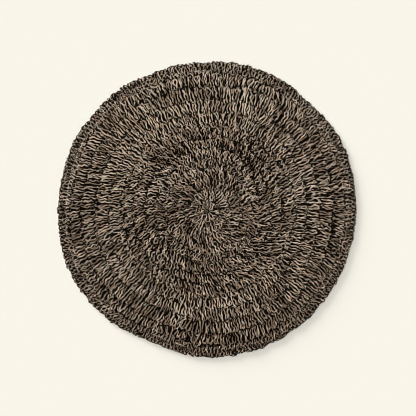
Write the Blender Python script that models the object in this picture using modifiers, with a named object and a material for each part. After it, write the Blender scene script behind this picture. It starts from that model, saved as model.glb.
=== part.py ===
# A round rug crocheted in the round from raffia cord, lying flat.
# Metres, +Z up. The origin is on the floor, under the middle of the rug's outline box.

import math
from collections import namedtuple

import bpy

# Driving dimensions
RUG_RADIUS = 0.500  # mean radius, out to the tips of the edging
BODY_RADIUS = 0.473  # mean radius at which the edging is worked on
SEAM_GAP = 0.0003  # between the body's rim and the edging
VALLEY_HEIGHT = 0.0090  # cloth thickness where two rounds meet
RIM_CHAMFER = 0.0025  # how far the body's rim is eased, top and bottom
SLOW_WAVE = 0.0006  # the cloth's unevenness from one side to the other
STITCH_CENTRE = (0.0043, -0.0090)  # where the first round starts, from the outline's centre
EDGING_STITCHES = 144
SCALLOP_DEPTH = 0.0018  # how far the rim steps in between two edging stitches

BODY_STEPS = 96
EDGING_STEPS = 2 * EDGING_STITCHES
MERGE = 0.00001

# Rounds of the body from the centre out. Each stands as a low rib between two valleys.
Rounds = namedtuple("Rounds", "count height crest cuts")
BODY_ROUNDS = (
    Rounds(count=8, height=0.0359, crest=0.0115, cuts=3),  # leaning stitches
    Rounds(count=1, height=0.0113, crest=0.0102, cuts=2),  # short joining round
    Rounds(count=1, height=0.0380, crest=0.0120, cuts=4),  # tall stitches, four rounds
    Rounds(count=1, height=0.0425, crest=0.0122, cuts=4),
    Rounds(count=2, height=0.0470, crest=0.0122, cuts=4),
)

# Section of the edging: share of its width from the inside, and height.
Section = namedtuple("Section", "share height")
EDGING_SECTION = (
    Section(share=0.00, height=0.0000),
    Section(share=0.00, height=0.0088),
    Section(share=0.26, height=0.0112),
    Section(share=0.52, height=0.0094),
    Section(share=0.76, height=0.0106),
    Section(share=0.95, height=0.0078),
    Section(share=1.00, height=0.0042),
    Section(share=0.94, height=0.0000),
)

# Where the hand-worked outline swells past its mean circle or falls inside it.
# Bearings run counter-clockwise from +X, in degrees.
Swell = namedtuple("Swell", "bearing half_width rise")
OUTLINE_SWELLS = (
    Swell(bearing=22, half_width=32, rise=0.0050),
    Swell(bearing=48, half_width=13, rise=-0.0050),
    Swell(bearing=60, half_width=13, rise=0.0040),
    Swell(bearing=75, half_width=13, rise=0.0035),
    Swell(bearing=93, half_width=13, rise=-0.0070),
    Swell(bearing=110, half_width=16, rise=-0.0090),
    Swell(bearing=141, half_width=12, rise=-0.0020),
    Swell(bearing=151, half_width=13, rise=0.0035),
    Swell(bearing=202, half_width=32, rise=0.0095),
    Swell(bearing=248, half_width=23, rise=-0.0145),
    Swell(bearing=297, half_width=20, rise=0.0030),
    Swell(bearing=356, half_width=13, rise=0.0020),
)


def outline_radius(bearing):
    """Radius of the rug's outline at a bearing in degrees."""
    radius = RUG_RADIUS
    for swell in OUTLINE_SWELLS:
        off = abs((bearing - swell.bearing + 180) % 360 - 180) / swell.half_width
        if off < 1:
            radius += swell.rise * (1 + math.cos(math.pi * off)) / 2
    return radius


def on_the_cloth(nominal_radius, bearing):
    """Takes a point of the even, turned cloth to where the hand-worked cloth has it.

    The rounds keep the outline's shape at the rim and close on the stitch centre."""
    share = nominal_radius / RUG_RADIUS
    radius = share * outline_radius(bearing)
    pull = 1 - share**2
    angle = math.radians(bearing)
    x = radius * math.cos(angle) + pull * STITCH_CENTRE[0]
    y = radius * math.sin(angle) + pull * STITCH_CENTRE[1]
    return x, y


def scallop(step, share):
    """How far in a step of the edging lies: every second one is between two stitches."""
    return SCALLOP_DEPTH * share if step % 2 else 0.0


def outline_middle():
    """Middle of the box round the edging's outermost points."""
    tips = [
        on_the_cloth(RUG_RADIUS - scallop(step, 1.0), 360 * step / EDGING_STEPS)
        for step in range(EDGING_STEPS)
    ]
    across, along = zip(*tips)
    return (min(across) + max(across)) / 2, (min(along) + max(along)) / 2


def slow_wave(x, y):
    """A gentle unevenness of the cloth's upper side."""
    return SLOW_WAVE * (math.sin(9 * x + 4 * y + 0.6) + math.sin(7 * y - 5 * x)) / 2


def clear_scene():
    for obj in list(bpy.data.objects):
        bpy.data.objects.remove(obj, do_unlink=True)


def raffia_material(name, colour, roughness):
    material = bpy.data.materials.new(name)
    material.use_nodes = True
    shader = material.node_tree.nodes["Principled BSDF"]
    shader.inputs["Base Color"].default_value = (*colour, 1)
    shader.inputs["Roughness"].default_value = roughness
    shader.inputs["Metallic"].default_value = 0.0
    return material


def body_profile():
    """Half section of the body, from the middle of its upper side to that of its underside."""
    points = []
    inner = 0.0
    for rounds in BODY_ROUNDS:
        for _ in range(rounds.count):
            for cut in range(rounds.cuts):
                along = cut / rounds.cuts
                rib = (rounds.crest - VALLEY_HEIGHT) * math.sin(math.pi * along)
                points.append((inner + along * rounds.height, VALLEY_HEIGHT + rib))
            inner += rounds.height
    points.append((BODY_RADIUS - RIM_CHAMFER, VALLEY_HEIGHT))
    points.append((BODY_RADIUS, VALLEY_HEIGHT - RIM_CHAMFER))
    points.append((BODY_RADIUS, RIM_CHAMFER))
    points.append((BODY_RADIUS - RIM_CHAMFER, 0.0))
    points.append((0.0, 0.0))
    return points


def edging_profile():
    """Section of the edging, as a closed loop from its inner foot over its upper side."""
    inner = BODY_RADIUS + SEAM_GAP
    width = RUG_RADIUS - inner
    return [(inner + section.share * width, section.height) for section in EDGING_SECTION]


def turned(name, profile, steps, closed, collection):
    """Turns a profile in the XZ plane about Z, and returns it as a plain mesh object."""
    mesh = bpy.data.meshes.new(name)
    links = [(i, i + 1) for i in range(len(profile) - 1)]
    if closed:
        links.append((len(profile) - 1, 0))
    mesh.from_pydata([(radius, 0, height) for radius, height in profile], links, [])
    obj = bpy.data.objects.new(name, mesh)
    collection.objects.link(obj)
    screw = obj.modifiers.new("turn", "SCREW")
    screw.steps = steps
    screw.render_steps = steps
    screw.use_merge_vertices = True
    screw.merge_threshold = MERGE
    graph = bpy.context.evaluated_depsgraph_get()
    obj.data = bpy.data.meshes.new_from_object(obj.evaluated_get(graph))
    obj.modifiers.clear()
    return obj


def lay_by_hand(obj, middle, scalloped):
    """Moves a turned piece's points to the hand-worked outline and surface."""
    edging_width = RUG_RADIUS - BODY_RADIUS
    for vertex in obj.data.vertices:
        x, y, z = vertex.co
        nominal = math.hypot(x, y)
        bearing = math.degrees(math.atan2(y, x)) % 360
        if scalloped:
            step = round(bearing * EDGING_STEPS / 360)
            nominal -= scallop(step, (nominal - BODY_RADIUS) / edging_width)
        x, y = on_the_cloth(nominal, bearing)
        if z >= VALLEY_HEIGHT - RIM_CHAMFER:
            z += slow_wave(x, y)
        vertex.co = (x - middle[0], y - middle[1], z)
    obj.data.update()


def shade(obj, material):
    obj.data.materials.clear()
    obj.data.materials.append(material)
    obj.data.shade_smooth()
    obj.data.set_sharp_from_angle(angle=math.radians(50))


def main():
    clear_scene()
    collection = bpy.data.collections.new("raffia_rug")
    bpy.context.scene.collection.children.link(collection)
    middle = outline_middle()

    body = turned("crocheted_body", body_profile(), BODY_STEPS, False, collection)
    lay_by_hand(body, middle, scalloped=False)
    shade(body, raffia_material("marled_raffia", (0.100, 0.076, 0.055), 0.85))

    edging = turned("crocheted_edging", edging_profile(), EDGING_STEPS, True, collection)
    lay_by_hand(edging, middle, scalloped=True)
    shade(edging, raffia_material("edging_raffia", (0.086, 0.064, 0.046), 0.85))


main()
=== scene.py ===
import math

import bpy
import numpy as np
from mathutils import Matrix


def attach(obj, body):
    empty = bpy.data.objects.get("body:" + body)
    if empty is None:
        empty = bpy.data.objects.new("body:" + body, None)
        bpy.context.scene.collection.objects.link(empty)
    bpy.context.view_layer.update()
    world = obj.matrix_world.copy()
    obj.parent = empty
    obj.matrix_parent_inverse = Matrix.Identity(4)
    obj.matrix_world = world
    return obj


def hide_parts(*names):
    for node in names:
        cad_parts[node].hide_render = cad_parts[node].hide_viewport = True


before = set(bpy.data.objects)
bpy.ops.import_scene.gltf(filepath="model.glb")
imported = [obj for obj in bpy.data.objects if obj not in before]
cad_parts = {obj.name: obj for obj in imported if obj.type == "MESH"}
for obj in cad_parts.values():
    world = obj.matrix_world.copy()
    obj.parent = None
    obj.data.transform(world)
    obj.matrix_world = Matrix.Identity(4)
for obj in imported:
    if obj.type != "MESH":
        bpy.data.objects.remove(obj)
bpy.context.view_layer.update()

print("frame loaded:", ", ".join(sorted(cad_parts)))

# the rug's plan, read from the solids
# lengths are in metres and angles in degrees all through, unless a note says otherwise
rug = {
    "radius": 0.500,  # mean reach of the edging's tips
    "stitchOffset": (0.0043, -0.0090),  # middle of the first round, from the outline's
    "tips": 144,  # scallops round the solids' rim
    "upperSide": 0.005,  # the body's points above this height are on its upper side
}


def meshPoints(mesh):
    points = np.empty(len(mesh.vertices) * 3)
    mesh.vertices.foreach_get("co", points)
    return points.reshape(-1, 3)


def readPlan():
    body = meshPoints(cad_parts["crocheted_body"].data)
    upper = np.round(body[body[:, 2] > rug["upperSide"]], 5)
    spots, meeting = np.unique(upper, axis=0, return_counts=True)
    pole = spots[meeting.argmax(), :2]  # the rounds close where most triangles meet
    centre = pole - np.array(rug["stitchOffset"])
    away = meshPoints(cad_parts["crocheted_edging"].data)[:, :2] - centre
    bearing = np.degrees(np.arctan2(away[:, 1], away[:, 0])) % 360
    tip = np.round(bearing * rug["tips"] / 360).astype(int) % rug["tips"]
    reach = np.hypot(away[:, 0], away[:, 1])
    return centre, [reach[tip == k].max() for k in range(rug["tips"])]


rugCentre, tipReach = readPlan()
tipBearing = np.arange(rug["tips"]) * 360 / rug["tips"]
print("plan read: reach", round(min(tipReach), 4), "to", round(max(tipReach), 4))


def layOut(radius, bearing):
    # a point of an even round rug, moved to the hand-worked outline as in the solids
    share = radius / rug["radius"]
    reach = np.interp(bearing % 360, tipBearing, tipReach, period=360)
    pull = 1 - share**2
    angle = np.radians(bearing)
    x = rugCentre[0] + share * reach * np.cos(angle) + pull * rug["stitchOffset"][0]
    y = rugCentre[1] + share * reach * np.sin(angle) + pull * rug["stitchOffset"][1]
    return x, y


# One stitch as the pair of cords runs through it, from the back up through the hole of the round
# before, over the front as a left leg, back down as a right leg, and on to the next stitch.
# Each row: across in stitch widths, outwards in round heights, height in mm, and which way the
# cloth's surface faces there: 90 is up, 270 down, 180 to the rug's middle, 0 to its rim.
tallStitch = (
    (-0.45, 0.80, 3.0, 270),
    (-0.30, 0.40, 2.6, 270),
    (-0.22, 0.02, 2.8, 270),
    (-0.21, -0.24, 4.4, 200),
    (-0.23, -0.21, 7.8, 130),
    (-0.25, -0.07, 9.9, 100),
    (-0.25, 0.13, 10.2, 90),
    (-0.25, 0.38, 10.0, 88),
    (-0.25, 0.62, 9.2, 80),
    (-0.24, 0.84, 6.2, 60),
    (0.00, 0.96, 3.4, 50),
    (0.24, 0.84, 6.2, 60),
    (0.25, 0.62, 9.2, 80),
    (0.25, 0.38, 10.0, 88),
    (0.25, 0.13, 10.2, 90),
    (0.25, -0.07, 9.9, 100),
    (0.23, -0.21, 7.8, 130),
    (0.21, -0.24, 4.4, 200),
    (0.16, 0.04, 2.8, 270),
    (0.08, 0.40, 2.6, 270),
    (-0.04, 0.72, 3.0, 290),
    (-0.18, 0.98, 5.0, 360),
    (-0.08, 0.95, 8.6, 430),
    (0.12, 0.86, 10.0, 450),
    (0.32, 0.90, 9.4, 450),
    (0.52, 1.00, 5.6, 490),
)
tallLegs = {"left": (4, 9), "right": (11, 16)}  # first and last row of each leg
tallBar = (21, 25)  # the bar that runs on to the next stitch: its first row, and the row after its last

# A short stitch shows as a small ring between two bars.
shortStitch = (
    (-0.48, 0.80, 2.8, 270),
    (-0.22, 0.20, 2.5, 270),
    (-0.10, -0.20, 5.2, 180),
    (-0.14, 0.06, 8.8, 100),
    (-0.27, 0.38, 9.6, 90),
    (-0.24, 0.74, 9.0, 80),
    (0.00, 0.90, 8.0, 75),
    (0.24, 0.74, 9.0, 80),
    (0.27, 0.38, 9.6, 90),
    (0.14, 0.06, 8.8, 100),
    (0.10, -0.20, 5.2, 180),
    (0.20, 0.20, 2.5, 270),
    (0.10, 0.75, 2.8, 285),
    (-0.05, 1.12, 5.4, 360),
    (0.20, 1.06, 6.4, 430),
    (0.50, 0.94, 5.2, 460),
)
shortLegs = {"left": (3, 5), "right": (7, 9)}
shortBar = (13, 16)

# how the stitches are worked, the same in every zone
handwork = {
    "firstRing": 0.0045,  # the first round starts on a ring of this radius
    "eye": 0.0015,  # no cord comes nearer to the rug's middle than this
    "legMiddle": 0.35,  # the legs' middle, in round heights
    "sharedWaves": 14,  # what neighbours share changes in waves, up to this many round the rug
    "rimWaves": (25, 70),  # fewest and most waves in which the rim steps in and out
    "heightWaver": 0.0004,
    "crimpRange": (0.4, 1.6),  # least and most crimp of one stitch, as a share of its zone's
    "apart": 0.00238,  # each cord of a pair lies this far from the pair's middle
    "thinned": 0.5,  # a pair is drawn thinner towards its round's inner side, down to this share
    "strayEvery": 0.0075,  # length of cord from one stray to the next
    "lowest": 0.0026,  # the cords' middles are pressed between these heights
    "highest": 0.0106,
    "bendPoints": 0.008,  # a full bend gets as many points as this length of straight cord
    "hiddenPoints": 0.38,  # share of points for cord that doesn't show
    "showing": (0.004, 0.007),  # a cord comes into sight between these heights
}
# what each column of a run of cord holds
column = {
    "place": slice(0, 3),
    "facing": slice(3, 6),
    "turn": slice(6, 8),
    "share": 8,
    "crimp": 9,
    "crimpPhase": 10,
}


def slowChange(rng, count, waves, size, slowest=1):
    # a smooth closed run of values round the rug
    turn = np.arange(count) * 2 * math.pi / count
    values = np.zeros(count)
    for wave in range(slowest, waves + 1):
        values += rng.normal() * np.cos(wave * turn + rng.uniform(0, 2 * math.pi))
    return values * size / math.sqrt(waves + 1 - slowest)


def uneven(rng, count, amounts):
    # one value for each stitch: the usual one, what whole stretches of the round share, and its own
    usual, shared, own = amounts
    return usual + slowChange(rng, count, handwork["sharedWaves"], shared) + rng.normal(0, own, count)


def legTwist(rng, zone, number, count, rows):
    # how far the pair has turned over, in degrees, for each row of each stitch
    *sides, nextSide = zone["sides"][number]
    first, last = zone["legs"]["left"]
    firstRight, lastRight = zone["legs"]["right"]
    shared = slowChange(rng, count, handwork["sharedWaves"], zone["phase"][0])
    middles = []
    for side in sides:
        swapped = 180 * (rng.random(count) < zone["swaps"])
        middles.append(side + shared + rng.normal(0, zone["phase"][1], count) + swapped)
    roll = [rng.normal(*zone["roll"], count) for side in sides]
    left, right = middles
    begin = left - roll[0]
    nextBegin = np.roll(begin, -1) + nextSide - sides[0]
    ends = (begin, left + roll[0], right - roll[1], right + roll[1], nextBegin)
    marks = (first, last, firstRight, lastRight, rows + first)
    # rows before the first leg belong to the last stitch
    row = np.arange(rows) + rows * (np.arange(rows) < first)
    twist = np.stack([np.interp(row, marks, values) for values in np.stack(ends, axis=1)])
    twist[:, :first] = np.roll(twist[:, :first], 1, axis=0)
    return np.radians(twist)


def roundRows(zone, number, inner, height, rng):
    # the rows of every stitch of one round, with the unevenness of handwork, as a closed run
    rows = np.array(zone["stitch"])
    middle = inner + height / 2
    count = zone.get("count") or max(7, round(2 * math.pi * middle / zone["width"]))
    start = rng.random()
    across = rows[:, 0] + np.arange(count)[:, None]
    outwards = np.repeat(rows[None, :, 1], count, axis=0)
    level = np.repeat(rows[None, :, 2], count, axis=0) / 1000
    facing = np.radians(np.repeat(rows[None, :, 3], count, axis=0))
    # the legs' length, place and bends
    shared = {name: uneven(rng, count, (*zone[name][:2], 0)) for name in ("tilt", "hook", "bow")}
    legs = slice(min(zone["legs"]["left"]) - 1, max(zone["legs"]["right"]) + 2)
    legMiddle = handwork["legMiddle"]
    outwards[:, legs] = legMiddle + zone["legLength"] * (outwards[:, legs] - legMiddle)
    outwards += uneven(rng, count, zone["slide"])[:, None]
    for first, last in zone["legs"].values():
        reach = slice(first - 1, last + 2)
        along = np.linspace(0, 1, last - first + 3)
        bends = {"tilt": along - 0.5, "hook": np.sin(2 * math.pi * along), "bow": np.sin(math.pi * along)}
        for name, bend in bends.items():
            across[:, reach] += (shared[name] + rng.normal(0, zone[name][2], count))[:, None] * bend
        across[:, reach] += rng.normal(0, zone["legShift"], count)[:, None]
        level[:, reach] += rng.normal(0, zone["lift"], count)[:, None]
        for end in (slice(first - 1, first + 2), slice(last - 1, last + 2)):
            outwards[:, end] += rng.normal(0, zone["reachSpread"], count)[:, None]
    bar = slice(*zone["bar"])
    across[:, bar] += rng.normal(0, zone["barShift"], count)[:, None]
    outwards[:, bar] += rng.normal(0, zone["barShift"], count)[:, None]
    level[:, bar] += rng.normal(0, zone["barLift"], count)[:, None]
    # the lean, and the wavering of the whole stitch
    size, toward = zone["leanTurn"]
    turn = np.radians(360 * (np.arange(count) + start) / count - toward)
    lean = zone["leans"][number] + size * np.cos(turn) + uneven(rng, count, (0, *zone["leanSpread"]))
    width = 2 * math.pi * middle / count
    across += np.tan(np.radians(lean))[:, None] * (outwards - 0.5) * height / width
    across += rng.normal(0, zone["waver"], across.shape)
    outwards += rng.normal(0, zone["waver"], across.shape) * width / height
    slowest, fastest = handwork["rimWaves"]
    outwards *= 1 + (slowChange(rng, count, fastest, zone["rim"], slowest) / height)[:, None]
    # the crimp along the legs
    size, length, together, own = zone["crimp"]
    wave = rng.uniform(0, 2 * math.pi) + slowChange(rng, count, handwork["sharedWaves"], together)
    crimp = np.zeros_like(across)
    crimpPhase = 2 * math.pi * outwards * height / length + wave[:, None]
    for first, last in zone["legs"].values():
        crimp[:, first:last + 1] = size * rng.uniform(*handwork["crimpRange"], count)[:, None]
        crimpPhase[:, first - 1:last + 2] += rng.normal(0, own, count)[:, None]
    level += rng.normal(0, handwork["heightWaver"], across.shape)
    twist = legTwist(rng, zone, number, count, len(rows))
    # laid out round the rug
    bearing = 360 * (across + start) / count
    radius = np.maximum(inner + outwards * height, handwork["eye"])
    x, y = layOut(radius, bearing)
    angle = np.radians(bearing)
    flat = np.cos(facing)
    surface = (flat * np.cos(angle), flat * np.sin(angle), np.sin(facing))
    twisted = (np.cos(twist), np.sin(twist))
    run = np.stack((x, y, level, *surface, *twisted, radius / middle, crimp, crimpPhase), axis=2)
    return count, run.reshape(count * len(rows), -1)


def smoothed(run, steps=8):
    # a closed uniform B-spline through every column at once
    t = (np.arange(steps) / steps)[:, None]
    weights = ((1 - t)**3, 3 * t**3 - 6 * t**2 + 4, -3 * t**3 + 3 * t**2 + 3 * t + 1, t**3)
    points = (np.roll(run, shift, axis=0)[:, None] for shift in (1, 0, -1, -2))
    curve = sum(weight * point for weight, point in zip(weights, points)) / 6
    return curve.reshape(len(run) * steps, -1)


def unit(vectors):
    return vectors / np.maximum(np.linalg.norm(vectors, axis=1, keepdims=True), 1e-9)


def sideAndUp(line, facing):
    ahead = unit(np.roll(line, -1, axis=0) - np.roll(line, 1, axis=0))
    side = unit(np.cross(ahead, facing))
    return side, np.cross(side, ahead)


def spaced(curve, count):
    # the same curve with count points, closer together where it bends and where it shows
    ahead = np.roll(curve[:, :3], -1, axis=0) - curve[:, :3]
    step = np.linalg.norm(ahead, axis=1)
    ahead = unit(ahead)
    turning = np.linalg.norm(ahead - np.roll(ahead, 1, axis=0), axis=1)
    shown = np.interp(curve[:, 2], handwork["showing"], (handwork["hiddenPoints"], 1))
    weight = np.concatenate(([0], np.cumsum((step + handwork["bendPoints"] * turning) * shown)))
    closed = np.vstack((curve, curve[:1]))
    places = np.linspace(0, weight[-1], count, endpoint=False)
    return np.stack([np.interp(places, weight, values) for values in closed.T], axis=1)


def wander(rng, line, every, size):
    # a small wavering along a cord, one free value for each stretch of its length
    total = len(line)
    length = np.linalg.norm(np.diff(line, axis=0), axis=1).sum()
    knots = max(6, int(length / every))  # six at least, so that a short line wanders too
    places = np.linspace(0, knots, total, endpoint=False)
    free = rng.normal(0, size, (3, knots))
    return np.stack([np.interp(places, np.arange(knots), row, period=knots) for row in free], axis=1)


def cordPair(zone, number, inner, height, rng):
    # the two cords of a round: natural on one side of the pair's middle, black on the other
    count, run = roundRows(zone, number, inner, height, rng)
    curve = smoothed(run)
    away = unit(curve[:, :2] - rugCentre - rug["stitchOffset"])
    sway = (curve[:, column["crimp"]] * np.sin(curve[:, column["crimpPhase"]]))[:, None]
    curve[:, :2] += sway * np.stack((-away[:, 1], away[:, 0]), axis=1)
    curve = spaced(curve, count * zone["points"])
    line, facing = curve[:, column["place"]], unit(curve[:, column["facing"]])
    side, up = sideAndUp(line, facing)
    turn = unit(curve[:, column["turn"]])
    squeeze = zone["fineness"] * np.clip(curve[:, column["share"]], handwork["thinned"], 1)[:, None]
    off = (turn[:, :1] * side + turn[:, 1:] * up) * squeeze * handwork["apart"]
    cords = []
    for sign, size in zip((1, -1), zone["cords"]):
        own = line + sign * off + wander(rng, line, handwork["strayEvery"], zone["stray"])
        own[:, 2] = np.clip(own[:, 2], handwork["lowest"], handwork["highest"])
        size, tone = size * squeeze[:, 0], zone["tones"][number]
        cords.append({"line": own, "facing": facing, "size": size, "count": count, "tone": tone})
    return cords


# the make of a single cord; its tone tells the finish how pale the raffia is there, and carries painted light
# and painted glints as well
raffiaCord = {
    "section": (1.14, 0.88),  # across and through, as a share of its size
    "lumps": 0.10,  # how uneven its section is
    "wobble": (0.010, 0.15),  # length from one thickness to the next, and how much they differ
    "thickness": (0.7, 1.3),  # thinnest and thickest, as a share of its size
    "turnLength": 0.11,  # its section turns over once in this length
    "underside": 0.0002,  # no cord goes below this height
    "fibreRadius": 0.0019,  # the fibres are laid as on a cord of this half thickness
    "fibreStart": 50,  # each cord starts somewhere in this length of the fibres' pattern
    "tones": ((0.007, 0.9), (0.030, 0.5), (0.240, 0.55)),  # length from one tone to the next, and how strong; the shortest is partly painted highlight, glints on the twisted strip's facets, and partly the raffia's own uneven tone
    "paintedLitSide": (-0.24, 0.88),  # painted light: paler upwards and a little to the left, the side the lamps shine from; a slow change of tone over the whole rug, to a metre, to the right and upwards
}


def tube(cord, sides, rng):
    # rings round a cord's line, uneven as twisted raffia is
    line = cord["line"]
    side, up = sideAndUp(line, cord["facing"])
    along = np.concatenate(([0], np.cumsum(np.linalg.norm(np.diff(line, axis=0), axis=1))))
    every, amount = raffiaCord["wobble"]
    wobble = wander(rng, line, every, 1.0)[:, 0]
    # the shortest change of tone is partly painted glints
    changes = [share * wander(rng, line, length, 1.0)[:, 0] for length, share in raffiaCord["tones"]]
    # painted light: the tone grows paler towards the side of the rug the lamps shine from
    tone = cord["tone"] + sum(changes) + line[:, :2] @ raffiaCord["paintedLitSide"]
    turn = 2 * math.pi * along / raffiaCord["turnLength"] + rng.uniform(0, 6.28)
    turn *= round(turn[-1] / (2 * math.pi)) * 2 * math.pi / turn[-1]  # whole turns, so that its ends meet
    angle = np.arange(sides) * 2 * math.pi / sides
    lump = 1 + raffiaCord["lumps"] * rng.normal(size=sides)
    wide, thick = raffiaCord["section"]
    flatX, flatY = wide * lump * np.cos(angle), thick * lump * np.sin(angle)
    size = cord["size"] * np.clip(1 + amount * wobble, *raffiaCord["thickness"])
    a = flatX * np.cos(turn)[:, None] - flatY * np.sin(turn)[:, None]
    b = flatX * np.sin(turn)[:, None] + flatY * np.cos(turn)[:, None]
    ring = a[..., None] * side[:, None] + b[..., None] * up[:, None]
    points = line[:, None] + size[:, None, None] * ring
    points[..., 2] = np.maximum(points[..., 2], raffiaCord["underside"])
    around = np.stack((np.cos(angle), np.sin(angle))) * raffiaCord["fibreRadius"]
    start = rng.uniform(0, raffiaCord["fibreStart"])
    fibre = np.stack(np.broadcast_arrays(along[:, None] + start, *around), axis=2)
    tones = np.repeat(tone[:, None], sides, axis=1)
    return points.reshape(-1, 3), fibre.reshape(-1, 3), tones.reshape(-1)


def tubeFaces(total, sides, start):
    ring = np.arange(total)[:, None] * sides + start
    nextRing = np.roll(ring, -1, axis=0)
    j = np.arange(sides)
    k = (j + 1) % sides
    return np.stack((ring + j, nextRing + j, nextRing + k, ring + k), axis=2).reshape(-1, 4)


def bakeMap(total, perStitch, sides, first, strips):
    # each stitch's stretch of cord has its own strip in the map that the finish is baked on
    shape = 0.09  # height of a strip against its length
    gap = 0.06  # share of a strip that is left empty
    columns = max(1, round(math.sqrt(strips * shape)))
    rows = math.ceil(strips / columns)
    strip = first + np.arange(total) // perStitch
    begin = (np.arange(total) % perStitch) / perStitch
    j = np.arange(sides)

    def place(along, around):
        u = (strip[:, None] % columns + gap / 4 + (1 - gap / 2) * along[:, None]) / columns
        v = (strip[:, None] // columns + gap / 2 + (1 - gap) * around / sides) / rows
        return np.stack(np.broadcast_arrays(u, v), axis=2)

    end = begin + 1 / perStitch
    corners = (place(begin, j), place(end, j), place(end, j + 1), place(begin, j + 1))
    return np.stack(corners, axis=2).reshape(-1, 2)


def clothPiece(name, cords, perStitch, material, sides):
    points, fibres, tones, faces, places = [], [], [], [], []
    start = strip = 0
    strips = sum(cord["count"] for cord, _ in cords)
    for cord, rng in cords:
        co, fibre, tone = tube(cord, sides, rng)
        total = len(cord["line"])
        points.append(co)
        fibres.append(fibre)
        tones.append(tone)
        faces.append(tubeFaces(total, sides, start))
        places.append(bakeMap(total, perStitch, sides, strip, strips))
        start += len(co)
        strip += cord["count"]
    mesh = bpy.data.meshes.new(name)
    mesh.from_pydata(np.concatenate(points).tolist(), [], np.concatenate(faces).tolist())
    fibreLayer = mesh.attributes.new("fibre", "FLOAT_VECTOR", "POINT")
    fibreLayer.data.foreach_set("vector", np.concatenate(fibres).ravel())
    toneLayer = mesh.attributes.new("tone", "FLOAT", "POINT")
    toneLayer.data.foreach_set("value", np.concatenate(tones))
    bakeLayer = mesh.uv_layers.new(name="OFBake")
    bakeLayer.data.foreach_set("uv", np.concatenate(places).ravel())
    mesh.materials.append(material)
    mesh.shade_smooth()
    obj = bpy.data.objects.new(name, mesh)
    bpy.context.scene.collection.objects.link(obj)
    return obj


def newMaterial(name):
    material = bpy.data.materials.new(name)
    material.use_nodes = True
    return material, material.node_tree.nodes, material.node_tree.links


def noise(nodes, links, place, scale, detail, distortion=0):
    texture = nodes.new("ShaderNodeTexNoise")
    texture.inputs["Scale"].default_value = scale
    texture.inputs["Detail"].default_value = detail
    texture.inputs["Distortion"].default_value = distortion
    links.new(place, texture.inputs["Vector"])
    return texture.outputs["Fac"]


def mathNode(nodes, links, operation, *values):
    node = nodes.new("ShaderNodeMath")
    node.operation = operation
    for socket, value in zip(node.inputs, values):
        if isinstance(value, (int, float)):
            socket.default_value = value
        else:
            links.new(value, socket)
    return node.outputs[0]


def colourRamp(nodes, links, amount, *stops):
    # each stop is a position and the colour there, the lowest first
    ramp = nodes.new("ShaderNodeValToRGB")
    elements = ramp.color_ramp.elements
    elements[0].position = stops[0][0]
    elements[1].position = stops[-1][0]
    for position, _ in stops[1:-1]:
        elements.new(position)
    for element, (_, colour) in zip(elements, stops):
        element.color = (*colour, 1)
    links.new(amount, ramp.inputs["Fac"])
    return ramp.outputs["Color"]


def relief(nodes, links, height, distance, shader, strength=1):
    bump = nodes.new("ShaderNodeBump")
    bump.inputs["Strength"].default_value = strength
    bump.inputs["Distance"].default_value = distance
    links.new(height, bump.inputs["Height"])
    links.new(bump.outputs["Normal"], shader.inputs["Normal"])


# the finish of both cords, then what is each one's own
raffiaLook = {
    "streaks": (45, 1700, 1700),  # fibres to a metre, along the cord and across it
    "blotches": 60,  # to a metre
    "toneWeight": 0.18,  # how much the cord's tone counts against its streaks
    "blotchWeight": 0.5,
    "stops": (0.45, 0.75, 1.0),  # where the dark, the middle and the pale colour lie
    "tint": ((0.38, (1.03, 0.905, 0.75)), (0.62, (0.91, 0.965, 1.03))),  # from warm to cool
    "roughness": (0.55, 0.85),
    "relief": (0.6, 0.0006),  # strength, and depth of the fibres
}
yarns = {
    "Natural": {
        "material": "naturalRaffia",
        "colours": ((0.172, 0.121, 0.083), (0.394, 0.298, 0.219), (0.83, 0.70, 0.569)),
        "shine": 0.3,
        "sides": 5,
    },
    "Black": {
        "material": "blackRaffia",
        "colours": ((0.0015, 0.0008, 0.0004), (0.0038, 0.0023, 0.0013), (0.0130, 0.0089, 0.0059)),
        "shine": 0.016,
        "sides": 4,
    },
}


def raffia(name, colours, shine):
    material, nodes, links = newMaterial(name)
    shader = nodes["Principled BSDF"]
    shader.inputs["Specular IOR Level"].default_value = shine
    fibre = nodes.new("ShaderNodeAttribute")
    fibre.attribute_name = "fibre"
    tone = nodes.new("ShaderNodeAttribute")
    tone.attribute_name = "tone"
    stretch = nodes.new("ShaderNodeMapping")
    stretch.inputs["Scale"].default_value = raffiaLook["streaks"]
    links.new(fibre.outputs["Vector"], stretch.inputs["Vector"])
    streak = noise(nodes, links, stretch.outputs["Vector"], 1, 4)
    blotch = noise(nodes, links, fibre.outputs["Vector"], raffiaLook["blotches"], 2)
    toned = mathNode(nodes, links, "MULTIPLY_ADD", tone.outputs["Fac"], raffiaLook["toneWeight"], streak)
    shade = mathNode(nodes, links, "MULTIPLY_ADD", blotch, raffiaLook["blotchWeight"], toned)
    colour = colourRamp(nodes, links, shade, *zip(raffiaLook["stops"], colours))
    drift = noise(nodes, links, fibre.outputs["Vector"], raffiaLook["blotches"], 1)
    tinted = nodes.new("ShaderNodeMix")
    tinted.data_type = "RGBA"
    tinted.blend_type = "MULTIPLY"
    tinted.inputs["Factor"].default_value = 1
    links.new(colour, tinted.inputs[6])
    links.new(colourRamp(nodes, links, drift, *raffiaLook["tint"]), tinted.inputs[7])
    links.new(tinted.outputs[2], shader.inputs["Base Color"])
    rough = nodes.new("ShaderNodeMapRange")
    rough.inputs["To Min"].default_value, rough.inputs["To Max"].default_value = raffiaLook["roughness"]
    links.new(streak, rough.inputs["Value"])
    links.new(rough.outputs["Result"], shader.inputs["Roughness"])
    strength, depth = raffiaLook["relief"]
    relief(nodes, links, streak, depth, shader, strength)
    return material


for yarn in yarns.values():
    yarn["look"] = raffia(yarn["material"], yarn["colours"], yarn["shine"])

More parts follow.
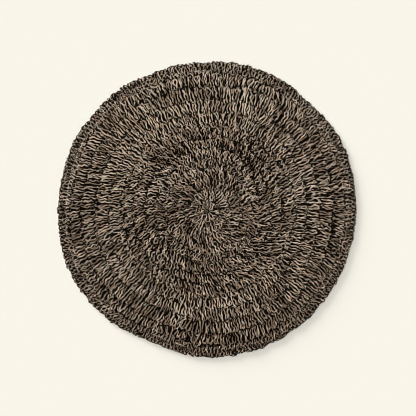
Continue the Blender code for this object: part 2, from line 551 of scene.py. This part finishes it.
# What a zone's values say:
# first, heights: where its first round starts, and how high each round is
# pieces: how many rounds go into each pair of pieces; points: of a cord, for each stitch
# width or count: of the stitches; fineness: size of the pair, as a share of the widest
# cords: half the thickness of the natural and of the black cord; tones: how pale each round is
# sides: where the natural cord lies on each leg, and on the next stitch
# leans: each round's lean; leanTurn: how much more, and towards which bearing; leanSpread: shared, and own
# tilt, hook, bow: how the legs bend, in stitch widths, and slide: how far out they are, in round heights;
# each is the usual one, what neighbours share, and the stitch's own
# legLength: as a share of the stitch's; legShift, reachSpread, lift: how far the legs vary sideways in stitch
# widths, at their ends in round heights, and upwards
# barShift, barLift: how far the bars vary; waver: how far every row does; rim: how far the rim steps
# crimp: how far the legs wave, the length of a wave, and the drift of its phase in radians, shared and own
# phase: how far the pair is turned over, shared and own
# roll: how far it turns on from a leg's middle to its end, usual and own
# swaps: share of the legs whose cords change places; stray: how far each cord wanders
tallZone = {
    "stitch": tallStitch, "legs": tallLegs, "bar": tallBar,
    "sides": [(0, 180, 360)] * 4,
    "barLift": 0.0012, "lift": 0.0008, "rim": 0,
}
shortZone = {
    "stitch": shortStitch, "legs": shortLegs, "bar": shortBar,
    "sides": [(0, 0, 0), (180, 180, 180)],
    "cords": (0.00190, 0.00215), "tones": (0,),
    "leanTurn": (0, 0),
    "tilt": (0, 0.1, 0.1), "hook": (0, 0.05, 0.1), "bow": (0, 0.05, 0.1),
    "legLength": 1, "lift": 0.0005,
    "barShift": 0.08, "barLift": 0.0008, "rim": 0,
    "crimp": (0, 0.01, 0, 0), "stray": 0.0008,
}
centreRounds = {
    **tallZone, "name": "centre", "seed": 11,
    "first": 0.0, "heights": [0.0376] * 4, "pieces": (4,), "points": 41,
    "width": 0.0190, "fineness": 0.98, "cords": (0.00184, 0.00225),
    "tones": (0.75, 0.45, -0.05, -0.05),
    "leans": (-4, 2, 11, 13), "leanTurn": (5, 235), "leanSpread": (6, 5),
    "tilt": (0, 0.10, 0.09), "hook": (0, 0.10, 0.05), "bow": (0, 0.10, 0.04), "slide": (0, 0.08, 0.10),
    "legLength": 1.05, "legShift": 0.025, "reachSpread": 0.11,
    "barShift": 0.06, "waver": 0.03, "crimp": (0.0019, 0.0170, 3.0, 1.2),
    "phase": (20, 40), "roll": (150, 50), "swaps": 0.05, "stray": 0.0008,
}
ringRounds = {
    **tallZone, "name": "ring", "seed": 17,
    "first": 0.1504, "heights": [0.0292], "pieces": (1,), "points": 41,
    "width": 0.0175, "fineness": 0.84, "cords": (0.00188, 0.00222),
    "tones": (0.15,),
    "leans": (-18,), "leanTurn": (7, 180), "leanSpread": (8, 8),
    "tilt": (0, 0.1, 0.1), "hook": (0, 0.1, 0.1), "bow": (0, 0.1, 0.1), "slide": (0, 0.1, 0.1),
    "legLength": 1.05, "legShift": 0.05, "reachSpread": 0.08,
    "barShift": 0.06, "waver": 0.05, "crimp": (0.0016, 0.0150, 3.0, 1.4),
    "phase": (30, 35), "roll": (150, 50), "swaps": 0.12, "stray": 0.0009,
}
leaningRounds = {
    **tallZone, "name": "leaning", "seed": 14,
    "first": 0.1796, "heights": [0.0359] * 3, "pieces": (3,), "points": 41,
    "width": 0.0196, "fineness": 0.98, "cords": (0.00185, 0.00224),
    "tones": (-0.1, -0.15, -0.1),
    "leans": (15, 13, 9), "leanTurn": (8, 265), "leanSpread": (6, 5),
    "tilt": (0, 0.10, 0.09), "hook": (0, 0.10, 0.05), "bow": (0, 0.10, 0.05), "slide": (0, 0.08, 0.10),
    "legLength": 1.06, "legShift": 0.025, "reachSpread": 0.11,
    "barShift": 0.06, "waver": 0.03, "crimp": (0.0021, 0.0165, 3.0, 1.2),
    "phase": (20, 40), "roll": (150, 50), "swaps": 0.05, "stray": 0.0008,
}
joiningRounds = {
    **shortZone, "name": "joining", "seed": 23,
    "first": 0.2850, "heights": [0.0135], "pieces": (1,), "points": 22,
    "width": 0.0165, "fineness": 0.9,
    "tones": (0.2,),
    "leans": (7,), "leanSpread": (10, 12), "slide": (0, 0.1, 0.1),
    "legShift": 0.06, "reachSpread": 0.08, "waver": 0.04,
    "phase": (20, 30), "roll": (25, 25), "swaps": 0.15,
}
tallRounds = {
    **tallZone, "name": "tall", "seed": 37,
    "first": 0.2985, "heights": [0.0380, 0.0425, 0.0470, 0.0375], "pieces": (2, 2), "points": 42,
    "width": 0.0200, "fineness": 1.0, "cords": (0.00182, 0.00222),
    "tones": (0.55, 0.4, -0.1, -0.15),
    "leans": (6, 3, 3, 2), "leanTurn": (4, 200), "leanSpread": (8, 3),
    "tilt": (0, 0.12, 0.13), "hook": (0.05, 0.12, 0.09), "bow": (0, 0.12, 0.06), "slide": (0, 0.05, 0.05),
    "legLength": 0.96, "legShift": 0.025, "reachSpread": 0.09,
    "barShift": 0.08, "waver": 0.025, "crimp": (0.0015, 0.021, 3.0, 0.9),
    "phase": (25, 20), "roll": (80, 28), "swaps": 0.03, "stray": 0.0010,
}
closingRounds = {
    **shortZone, "name": "closing", "seed": 31,
    "first": 0.4615, "heights": [0.0122], "pieces": (1,), "points": 20,
    "width": 0.0130, "fineness": 0.74,
    "leans": (-8,), "leanSpread": (10, 14), "slide": (0, 0.1, 0.1),
    "legShift": 0.08, "reachSpread": 0.08, "waver": 0.05,
    "phase": (15, 20), "roll": (20, 20), "swaps": 0.05,
}
edgingRounds = {
    **shortZone, "name": "edging", "seed": 41,
    "first": 0.4735, "heights": [0.0132, 0.0100], "pieces": (2,), "points": 20,
    "count": 238, "fineness": 0.74, "cords": (0.00150, 0.00260),
    "tones": (0.1, 0.1),
    "leans": (-6, 0), "leanSpread": (8, 14), "slide": (0, 0.1, 0.05),
    "legShift": 0.08, "reachSpread": 0.13, "waver": 0.05, "rim": 0.0017,
    "phase": (15, 20), "roll": (20, 20), "swaps": 0.05,
}


def workZone(zone, node):
    inner = zone["first"]
    made = []
    pairs = []
    for number, height in enumerate(zone["heights"]):
        rng = np.random.default_rng(zone["seed"] + number)
        ring = 0 if inner else handwork["firstRing"]
        pairs.append(cordPair(zone, number, inner + ring, height - ring, rng))
        inner += height
    done = 0
    for part, rounds in enumerate(zone["pieces"]):
        group = pairs[done:done + rounds]
        done += rounds
        for side, (colour, yarn) in enumerate(yarns.items()):
            seed = zone["seed"] * 100 + done * 2 + side
            cords = [(pair[side], np.random.default_rng(seed + 10 * k)) for k, pair in enumerate(group)]
            name = f"{zone['name']}{colour}{part + 1}"
            piece = clothPiece(name, cords, zone["points"], yarn["look"], yarn["sides"])
            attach(piece, "root")
            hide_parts(node)
            made.append(piece)
    sizes = [f"{piece.name} {len(piece.data.polygons) * 2}" for piece in made]
    print(zone["name"], "worked:", ", ".join(sizes))
    return made


bodyYarn = []
for zone in (centreRounds, ringRounds, leaningRounds, joiningRounds, tallRounds, closingRounds):
    bodyYarn += workZone(zone, "crocheted_body")
edgingYarn = workZone(edgingRounds, "crocheted_edging")


# the crossing cords in the middle of the cloth, seen between the stitches and kept near black as painted
# shade in the gaps there, and their backs, seen from below
ground = {
    "low": 0.0024,  # heights of its two sides
    "high": 0.0038,
    "dip": 0.0004,  # how far it dips and rises
    "dipWaves": (140, 150),  # across and along, in radians to a metre
    "dipBend": (3, 90),  # how far the waves across bend, and how often
    "bodyRim": 0.4700,
    "bodyCuts": (96, 40),  # points in a ring, and rings
    "edgingFoot": 0.4738,
    "edgingRim": 0.4940,
    "edgingCuts": (288, 4),
    "smoothAngle": 50,
    "shine": 0.04,
    "roughness": 0.85,
    "relief": 0.001,  # depth of the grain and of the backs
    "grain": 260,  # to a metre
    # painted shade: the inner side is near black, partly the black cords' colour and partly shade between the
    # stitches
    "grainAndGapShadeStops": ((0.45, (0.003, 0.002, 0.0015)), (0.72, (0.024, 0.018, 0.0125))),
    "below": 0.0031,  # what is lower than this belongs to the underside
    "backRound": 0.0359,  # height of a round as it shows from below
    "backStrokes": (240, 45),  # strokes to a metre, round the rug and outwards
    "backShift": 50,  # each round shows another part of the pattern
    "backStops": ((0.49, (0.003, 0.002, 0.0015)), (0.56, (0.26, 0.20, 0.145)), (0.72, (0.60, 0.50, 0.39))),
}


def backStrokes(nodes, links, place):
    # the stitches' backs: strokes that point outwards, round by round
    parts = nodes.new("ShaderNodeSeparateXYZ")
    links.new(place, parts.inputs[0])
    across, along, height = parts.outputs
    angle = mathNode(nodes, links, "ARCTAN2", along, across)
    squares = [mathNode(nodes, links, "MULTIPLY", side, side) for side in (across, along)]
    radius = mathNode(nodes, links, "SQRT", mathNode(nodes, links, "ADD", *squares))
    inner = mathNode(nodes, links, "SNAP", radius, ground["backRound"])
    middle = mathNode(nodes, links, "ADD", inner, ground["backRound"] / 2)
    arc = mathNode(nodes, links, "MULTIPLY", angle, middle)
    spread, outwards = ground["backStrokes"]
    unrolled = nodes.new("ShaderNodeCombineXYZ")
    links.new(mathNode(nodes, links, "MULTIPLY", arc, spread), unrolled.inputs[0])
    links.new(mathNode(nodes, links, "MULTIPLY", radius, outwards), unrolled.inputs[1])
    links.new(mathNode(nodes, links, "MULTIPLY", inner, ground["backShift"]), unrolled.inputs[2])
    strokes = noise(nodes, links, unrolled.outputs[0], 1, 3, 0.5)
    colour = colourRamp(nodes, links, strokes, *ground["backStops"])
    return strokes, colour, mathNode(nodes, links, "LESS_THAN", height, ground["below"])


def groundLook():
    material, nodes, links = newMaterial("innerCordsAndGapShade")
    shader = nodes["Principled BSDF"]
    shader.inputs["Specular IOR Level"].default_value = ground["shine"]
    shader.inputs["Roughness"].default_value = ground["roughness"]
    place = nodes.new("ShaderNodeTexCoord").outputs["Object"]
    grain = noise(nodes, links, place, ground["grain"], 4)
    # painted shade in the gaps between stitches, on the sheet's upper side
    inside = colourRamp(nodes, links, grain, *ground["grainAndGapShadeStops"])
    strokes, backs, isBelow = backStrokes(nodes, links, place)
    colour = nodes.new("ShaderNodeMix")
    colour.data_type = "RGBA"
    links.new(isBelow, colour.inputs["Factor"])
    links.new(inside, colour.inputs[6])
    links.new(backs, colour.inputs[7])
    links.new(colour.outputs[2], shader.inputs["Base Color"])
    height = nodes.new("ShaderNodeMix")
    links.new(isBelow, height.inputs["Factor"])
    links.new(grain, height.inputs["A"])
    links.new(strokes, height.inputs["B"])
    relief(nodes, links, height.outputs["Result"], ground["relief"], shader)
    return material


def clothGround(name, foot, rim, cuts, node):
    # a ring of edges, drawn outwards ring by ring, then laid to the rug's outline and given its thickness
    steps, rings = cuts
    bpy.ops.object.select_all(action="DESELECT")
    start = foot or rim / rings / 3  # with no foot it starts as a small disc
    bpy.ops.mesh.primitive_circle_add(vertices=steps, radius=start, fill_type="NOTHING" if foot else "NGON")
    sheet = bpy.context.object
    sheet.name = name
    bpy.ops.object.mode_set(mode="EDIT")
    bpy.ops.mesh.select_mode(type="EDGE")
    bpy.ops.mesh.select_all(action="SELECT")
    before = start
    for ring in range(1, rings + 1):
        radius = start + (rim - start) * ring / rings
        bpy.ops.mesh.extrude_edges_move()
        bpy.ops.transform.resize(value=(radius / before, radius / before, 1))
        before = radius
    bpy.ops.mesh.select_all(action="SELECT")
    bpy.ops.mesh.normals_make_consistent(inside=False)
    bpy.ops.object.mode_set(mode="OBJECT")
    points = meshPoints(sheet.data)
    radius = np.hypot(points[:, 0], points[:, 1])
    bearing = np.degrees(np.arctan2(points[:, 1], points[:, 0]))
    x, y = layOut(radius, bearing)
    acrossWaves, alongWaves = ground["dipWaves"]
    bend, bends = ground["dipBend"]
    dips = np.sin(acrossWaves * x + bend * np.sin(bends * y)) * np.sin(alongWaves * y)
    z = ground["high"] - ground["dip"] * dips
    sheet.data.vertices.foreach_set("co", np.stack((x, y, z), axis=1).ravel())
    thick = sheet.modifiers.new("thickness", "SOLIDIFY")
    thick.thickness = ground["high"] - ground["low"]
    thick.offset = -1
    bpy.ops.object.modifier_apply(modifier=thick.name)
    bpy.ops.object.shade_smooth_by_angle(angle=math.radians(ground["smoothAngle"]))
    sheet.data.materials.append(groundLook())
    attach(sheet, "root")
    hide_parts(node)
    return sheet


bodyGround = clothGround(
    "bodyInside", 0, ground["bodyRim"], ground["bodyCuts"], "crocheted_body",
)
edgingGround = clothGround(
    "edgingInside", ground["edgingFoot"], ground["edgingRim"], ground["edgingCuts"],
    "crocheted_edging",
)
worked = sum(len(piece.data.polygons) * 2 for piece in bodyYarn + edgingYarn)
print("sheets declared; yarn triangles in all:", worked)


# floor, light and camera
stage = {
    "floorSize": 30.0,
    "floorHeight": -0.0004,
    "floorColour": (0.885, 0.855, 0.765),
    "floorRoughness": 0.9,
    # each lamp: its bearing and height, how wide it looks from the rug, and its power
    "lamps": {"lowKey": (134, 15.5, 25, 3.95), "overheadFill": (135, 78, 35, 2.10)},
    "lampDistance": 2.0,  # for the viewport alone, because suns light alike from anywhere
    "skyColour": (1.0, 0.99, 0.97),
    "skyPower": 0.085,
    "cameraAim": (0.0032, 0.0047),
    "cameraHeight": 4.0,
    "sensor": 36,
    "viewWidth": 1.400,
    "crispness": 0.92,  # how far one pixel blurs into the next
}


def placeFloor():
    bpy.ops.object.select_all(action="DESELECT")
    bpy.ops.mesh.primitive_plane_add(size=stage["floorSize"], location=(0, 0, stage["floorHeight"]))
    floor = bpy.context.object
    floor.name = "paleFloor"
    material, nodes, _ = newMaterial("palePaper")
    shader = nodes["Principled BSDF"]
    shader.inputs["Base Color"].default_value = (*stage["floorColour"], 1)
    shader.inputs["Roughness"].default_value = stage["floorRoughness"]
    shader.inputs["Specular IOR Level"].default_value = 0.0
    floor.data.materials.append(material)


def placeLight():
    for name, (bearing, height, spread, power) in stage["lamps"].items():
        lamp = bpy.data.lights.new(name, "SUN")
        lamp.angle = math.radians(spread)
        lamp.energy = power
        holder = bpy.data.objects.new(name, lamp)
        away = (math.cos(math.radians(bearing)), math.sin(math.radians(bearing)), 1)
        holder.location = [stage["lampDistance"] * part for part in away]
        holder.rotation_euler = (math.radians(90 - height), 0, math.radians(bearing + 90))
        bpy.context.scene.collection.objects.link(holder)
    world = bpy.data.worlds.new("softSky")
    bpy.context.scene.world = world
    world.use_nodes = True
    sky = world.node_tree.nodes["Background"]
    sky.inputs["Color"].default_value = (*stage["skyColour"], 1)
    sky.inputs["Strength"].default_value = stage["skyPower"]


def placeCamera():
    lens = bpy.data.cameras.new("overhead")
    lens.sensor_width = stage["sensor"]
    lens.lens = stage["sensor"] * stage["cameraHeight"] / stage["viewWidth"]
    camera = bpy.data.objects.new("overhead", lens)
    camera.location = (*stage["cameraAim"], stage["cameraHeight"])
    bpy.context.scene.collection.objects.link(camera)
    bpy.context.scene.camera = camera
    bpy.context.scene.view_settings.view_transform = "Standard"
    bpy.context.scene.cycles.filter_width = stage["crispness"]


placeFloor()
placeLight()
placeCamera()
print("stage set")
